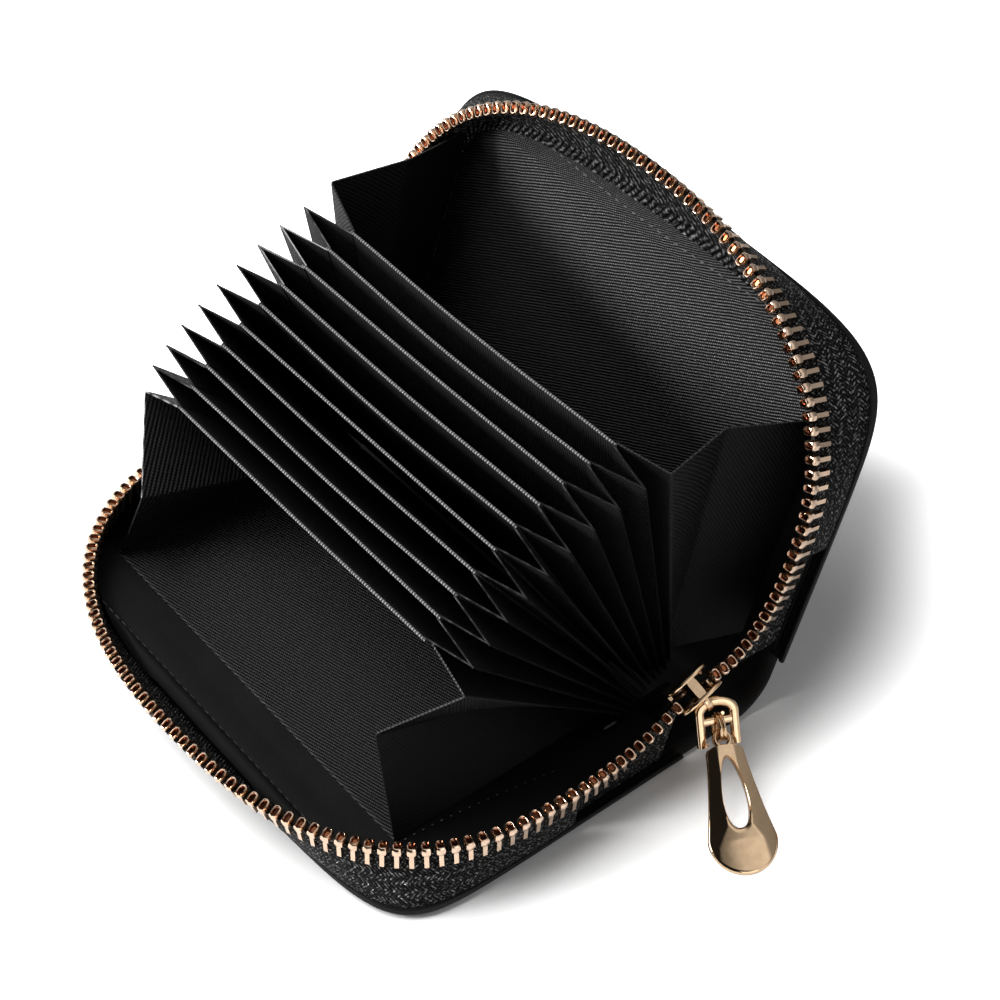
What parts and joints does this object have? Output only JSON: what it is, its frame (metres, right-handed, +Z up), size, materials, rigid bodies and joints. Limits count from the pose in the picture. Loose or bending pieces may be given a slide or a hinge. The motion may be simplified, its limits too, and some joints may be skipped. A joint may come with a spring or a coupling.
{
  "type": "card wallet",
  "caption": "Zip-around card wallet lying open, its accordion of card dividers fanned between two leather covers, with a metal zip, slider and drop-shaped pull.",
  "frame": {"origin": "centre of the left cover's flat underside", "axes": "+X from the left cover's mouth to the spine, +Y along the spine away from the slider, +Z up from the surface the left cover lies on"},
  "size_m": [0.1117, 0.1381, 0.0772],
  "materials": {
    "smooth_leather": "smooth, low sheen",
    "twill_lining": "matt twill",
    "woven_tape": "coarse weave",
    "fibre_board": "matt",
    "rose_gold": "polished plating",
    "pale_gold": "polished plating"
  },
  "bodies": {
    "left_cover": {"left_leather": "smooth_leather", "left_board": "fibre_board", "left_lining": "twill_lining", "left_accordion_panel": "twill_lining", "left_mouth_facing": "smooth_leather", "left_zip_tape": "woven_tape", "left_zip_tape_end": "woven_tape", "left_zip_teeth": "rose_gold", "left_zip_teeth_end": "rose_gold", "left_top_stop": "rose_gold"},
    "spine": {"spine_leather": "smooth_leather", "spine_lining": "twill_lining", "zip_stub": "rose_gold", "zip_end_anchor": "woven_tape"},
    "right_cover": {"right_leather": "smooth_leather", "right_board": "fibre_board", "right_lining": "twill_lining", "right_accordion_panel": "twill_lining", "right_zip_tape": "woven_tape", "right_zip_tape_end": "woven_tape", "right_zip_teeth": "rose_gold", "right_zip_teeth_end": "rose_gold", "right_top_stop": "rose_gold"},
    "divider_body_01": {"divider_01": "twill_lining", "near_gusset_01": "twill_lining", "far_gusset_01": "twill_lining", "near_wide_gusset_left": "twill_lining", "far_wide_gusset_left": "twill_lining"},
    "divider_body_02": {"divider_02": "twill_lining", "near_gusset_02": "twill_lining", "far_gusset_02": "twill_lining"},
    "divider_body_03": {"divider_03": "twill_lining", "near_gusset_03": "twill_lining", "far_gusset_03": "twill_lining"},
    "divider_body_04": {"divider_04": "twill_lining", "near_gusset_04": "twill_lining", "far_gusset_04": "twill_lining"},
    "divider_body_05": {"divider_05": "twill_lining", "near_gusset_05": "twill_lining", "far_gusset_05": "twill_lining"},
    "divider_body_06": {"divider_06": "twill_lining", "near_gusset_06": "twill_lining", "far_gusset_06": "twill_lining"},
    "divider_body_07": {"divider_07": "twill_lining", "near_gusset_07": "twill_lining", "far_gusset_07": "twill_lining"},
    "divider_body_08": {"divider_08": "twill_lining", "near_gusset_08": "twill_lining", "far_gusset_08": "twill_lining"},
    "divider_body_09": {"divider_09": "twill_lining", "near_gusset_09": "twill_lining", "far_gusset_09": "twill_lining"},
    "divider_body_10": {"divider_10": "twill_lining", "near_wide_gusset_right": "twill_lining", "far_wide_gusset_right": "twill_lining"},
    "slider": {"slider_body": "rose_gold", "slider_bridge": "rose_gold"},
    "link": {"pull_link": "pale_gold"},
    "ring": {"pull_ring": "pale_gold"},
    "pull": {"pull_tab": "pale_gold"}
  },
  "joints": [
    {"name": "spine_fold", "type": "hinge", "parent": "left_cover", "child": "spine", "pos_m": [0.0305, 0, 0.0013], "axis": [0, -1, 0], "range_deg": [-4.8, 65.75], "deforming": ["left_zip_tape_end", "left_zip_teeth_end"]},
    {"name": "cover_fold", "type": "hinge", "parent": "spine", "child": "right_cover", "pos_m": [0.05166, 0, 0.01083], "axis": [0, -1, 0], "range_deg": [-3.2, 43.7], "deforming": ["right_zip_tape_end", "right_zip_teeth_end", "near_wide_gusset_right", "far_wide_gusset_right"]},
    {"name": "divider_fan_01", "type": "hinge", "parent": "left_cover", "child": "divider_body_01", "pos_m": [0.0285, 0, 0.0039], "axis": [0, -1, 0], "range_deg": [-3.3, 43.9], "deforming": ["near_wide_gusset_left", "far_wide_gusset_left"]},
    {"name": "divider_fan_02", "type": "hinge", "parent": "divider_body_01", "child": "divider_body_02", "pos_m": [0.02919, 0, 0.00462], "axis": [0, -1, 0], "range_deg": [-0.3, 3.8], "deforming": ["near_gusset_01", "far_gusset_01"]},
    {"name": "divider_fan_03", "type": "hinge", "parent": "divider_body_02", "child": "divider_body_03", "pos_m": [0.02993, 0, 0.0053], "axis": [0, -1, 0], "range_deg": [-0.3, 4], "deforming": ["near_gusset_02", "far_gusset_02"]},
    {"name": "divider_fan_04", "type": "hinge", "parent": "divider_body_03", "child": "divider_body_04", "pos_m": [0.03071, 0, 0.00592], "axis": [0, -1, 0], "range_deg": [-0.4, 4.2], "deforming": ["near_gusset_03", "far_gusset_03"]},
    {"name": "divider_fan_05", "type": "hinge", "parent": "divider_body_04", "child": "divider_body_05", "pos_m": [0.03154, 0, 0.00649], "axis": [0, -1, 0], "range_deg": [-0.4, 4.3], "deforming": ["near_gusset_04", "far_gusset_04"]},
    {"name": "divider_fan_06", "type": "hinge", "parent": "divider_body_05", "child": "divider_body_06", "pos_m": [0.0324, 0, 0.00699], "axis": [0, -1, 0], "range_deg": [-0.4, 4.5], "deforming": ["near_gusset_05", "far_gusset_05"]},
    {"name": "divider_fan_07", "type": "hinge", "parent": "divider_body_06", "child": "divider_body_07", "pos_m": [0.0333, 0, 0.00742], "axis": [0, -1, 0], "range_deg": [-0.4, 4.7], "deforming": ["near_gusset_06", "far_gusset_06"]},
    {"name": "divider_fan_08", "type": "hinge", "parent": "divider_body_07", "child": "divider_body_08", "pos_m": [0.03423, 0, 0.00778], "axis": [0, -1, 0], "range_deg": [-0.4, 4.8], "deforming": ["near_gusset_07", "far_gusset_07"]},
    {"name": "divider_fan_09", "type": "hinge", "parent": "divider_body_08", "child": "divider_body_09", "pos_m": [0.03519, 0, 0.00807], "axis": [0, -1, 0], "range_deg": [-0.4, 5], "deforming": ["near_gusset_08", "far_gusset_08"]},
    {"name": "divider_fan_10", "type": "hinge", "parent": "divider_body_09", "child": "divider_body_10", "pos_m": [0.03617, 0, 0.00826], "axis": [0, -1, 0], "range_deg": [-0.4, 5.2], "deforming": ["near_gusset_09", "far_gusset_09"]},
    {"name": "slider_slide", "type": "slide", "parent": "spine", "child": "slider", "axis": [0.2599, 0.5736, -0.7768], "range_m": [0, 0.003]},
    {"name": "link_swing", "type": "hinge", "parent": "slider", "child": "link", "pos_m": [0.03289, -0.05829, 0.01465], "axis": [0.8988, -0.4384, 0], "range_deg": [-45, 12]},
    {"name": "ring_swing", "type": "hinge", "parent": "link", "child": "ring", "pos_m": [0.03367, -0.06012, 0.01239], "axis": [0.8988, -0.4384, 0], "range_deg": [-20, 20]},
    {"name": "pull_turn", "type": "hinge", "parent": "ring", "child": "pull", "pos_m": [0.0334, -0.06066, 0.01136], "axis": [0.8988, -0.4384, 0], "range_deg": [-30, 25]}
  ],
  "couplings": [
    {"joint": "cover_fold", "follows": "spine_fold", "ratio": 0.6639},
    {"joint": "divider_fan_01", "follows": "spine_fold", "ratio": 0.66616},
    {"joint": "divider_fan_02", "follows": "spine_fold", "ratio": 0.05703},
    {"joint": "divider_fan_03", "follows": "spine_fold", "ratio": 0.05962},
    {"joint": "divider_fan_04", "follows": "spine_fold", "ratio": 0.06221},
    {"joint": "divider_fan_05", "follows": "spine_fold", "ratio": 0.06479},
    {"joint": "divider_fan_06", "follows": "spine_fold", "ratio": 0.06738},
    {"joint": "divider_fan_07", "follows": "spine_fold", "ratio": 0.06996},
    {"joint": "divider_fan_08", "follows": "spine_fold", "ratio": 0.07255},
    {"joint": "divider_fan_09", "follows": "spine_fold", "ratio": 0.07513},
    {"joint": "divider_fan_10", "follows": "spine_fold", "ratio": 0.07772}
  ]
}
